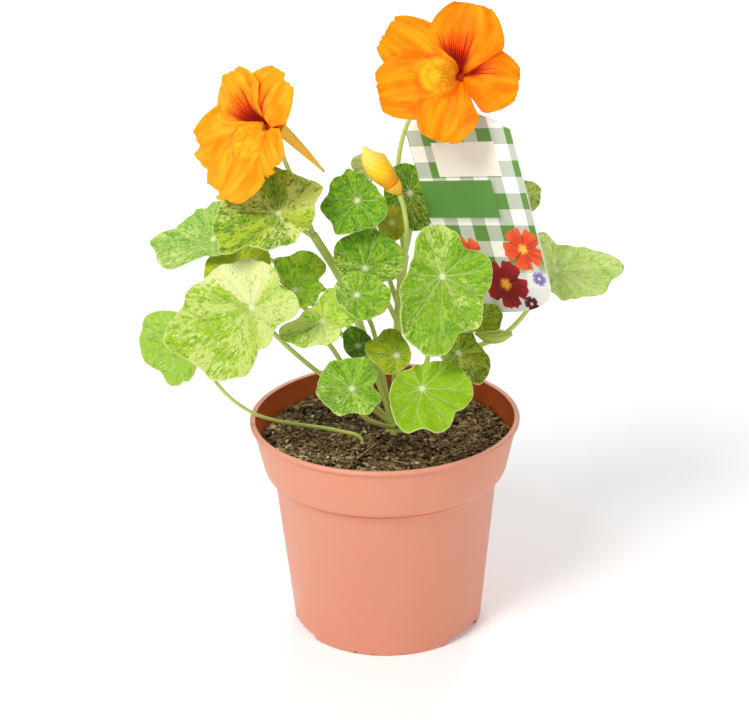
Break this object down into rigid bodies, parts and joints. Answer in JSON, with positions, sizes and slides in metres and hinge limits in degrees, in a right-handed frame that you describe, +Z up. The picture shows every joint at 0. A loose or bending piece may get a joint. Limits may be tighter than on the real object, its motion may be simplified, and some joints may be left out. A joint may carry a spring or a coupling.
{
  "type": "nasturtium plant",
  "caption": "Potted nasturtium with round variegated leaves on long petioles, spurred orange blooms, a bud and a printed plant label in a plastic nursery pot.",
  "frame": {"origin": "centre of the pot's base, on the surface that it stands on", "axes": "+Z up, +X to the right of the side that the blooms face, +Y away from that side"},
  "size_m": [0.2346, 0.1318, 0.3094],
  "materials": {
    "pot": "thin moulded plastic, satin, terracotta pink outside and darker brick inside",
    "soil": "damp peat compost, matt and crumbly, with fibres and pale grains",
    "label": "printed plastic sheet, satin, green and white checks",
    "stem": "smooth pale green living stem",
    "leaf": "matt waxy green leaf, marbled with cream",
    "petal": "soft orange petal with dark red guide lines in the throat",
    "calyx": "smooth yellow-orange calyx and spur"
  },
  "bodies": {
    "root": {"pot": "pot", "soil": "soil", "label": "label", "stems": "stem", "stem_left_low": "stem", "leaf_left_low": "leaf", "leaf_left_big": "leaf", "leaf_left_high": "leaf", "leaf_upper_left": "leaf", "leaf_under_left": "leaf", "leaf_mid_left": "leaf", "leaf_centre_left": "leaf", "leaf_top_middle": "leaf", "leaf_behind_label": "leaf", "leaf_centre": "leaf", "leaf_centre_low": "leaf", "leaf_right_big": "leaf", "leaf_far_right_small": "leaf", "leaf_far_right": "leaf", "leaf_front_left": "leaf", "leaf_front_right": "leaf", "leaf_right_low": "leaf", "leaf_right_mid": "leaf", "leaf_low_centre": "leaf", "leaf_low_left": "leaf", "leaf_behind_bud": "leaf", "leaf_behind_bud_top": "leaf", "bloom_left_petals": "petal", "bloom_left_calyx": "calyx", "bloom_right_petals": "petal", "bloom_right_calyx": "calyx", "bud_petals": "petal", "bud_calyx": "calyx", "young_leaf": "leaf"}
  },
  "joints": []
}
